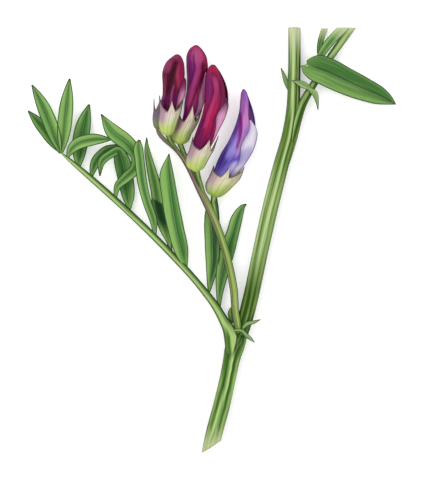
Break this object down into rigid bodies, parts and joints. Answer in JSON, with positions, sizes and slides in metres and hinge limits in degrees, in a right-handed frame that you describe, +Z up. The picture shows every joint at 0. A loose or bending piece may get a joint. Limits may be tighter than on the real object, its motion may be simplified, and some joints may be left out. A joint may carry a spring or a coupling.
{
  "type": "vetch flower sprig",
  "caption": "Picked vetch sprig lying flat: ridged cut stem, compound leaf with narrow leaflets, and a raceme of magenta and violet florets in toothed calyces",
  "frame": {"origin": "under the middle of the sprig, on the surface that it lies on", "axes": "+Y runs along the sprig from the cut end towards the flowers and the shoot, +X to the right of it, +Z up from the surface"},
  "size_m": [0.0781, 0.0896, 0.0075],
  "materials": {
    "stem_green": "living green stem with paler lengthwise ridges",
    "leaf_green": "matt green leaf, light half and dark half, fine veins",
    "stipule_green": "matt mid green",
    "stalk_mauve": "green stalk flushed mauve brown towards its tip",
    "calyx_cream": "cream with yellow green foot and mauve flush, fine ribs",
    "calyx_mauve": "grey mauve, fine ribs",
    "petal_magenta": "satin magenta petal with darker veins and violet shadow",
    "petal_violet": "satin blue violet petal with magenta crease",
    "wing_pink": "satin pale pink petal",
    "wing_lilac": "satin near white lilac petal",
    "bud_purple": "satin dull purple closed petals"
  },
  "bodies": {
    "root": {"main_stem": "stem_green", "compound_leaf": "leaf_green", "upper_leaf": "leaf_green", "peduncle": "stalk_mauve", "axillary_bud": "stipule_green", "stipule_lower_upper": "stipule_green", "stipule_lower_side": "stipule_green", "stipule_upper_left": "stipule_green", "stipule_upper_front": "stipule_green", "stipule_upper_right": "stipule_green", "calyx_1": "calyx_cream", "calyx_2": "calyx_cream", "calyx_3": "calyx_cream", "calyx_4": "calyx_cream", "calyx_5": "calyx_mauve", "standard_1": "petal_magenta", "standard_2": "petal_magenta", "standard_3": "petal_magenta", "standard_4": "petal_violet", "wings_keel_1": "wing_pink", "wings_keel_2": "wing_pink", "wings_keel_3": "wing_pink", "wings_keel_4": "wing_lilac", "petals_5": "bud_purple"}
  },
  "joints": []
}
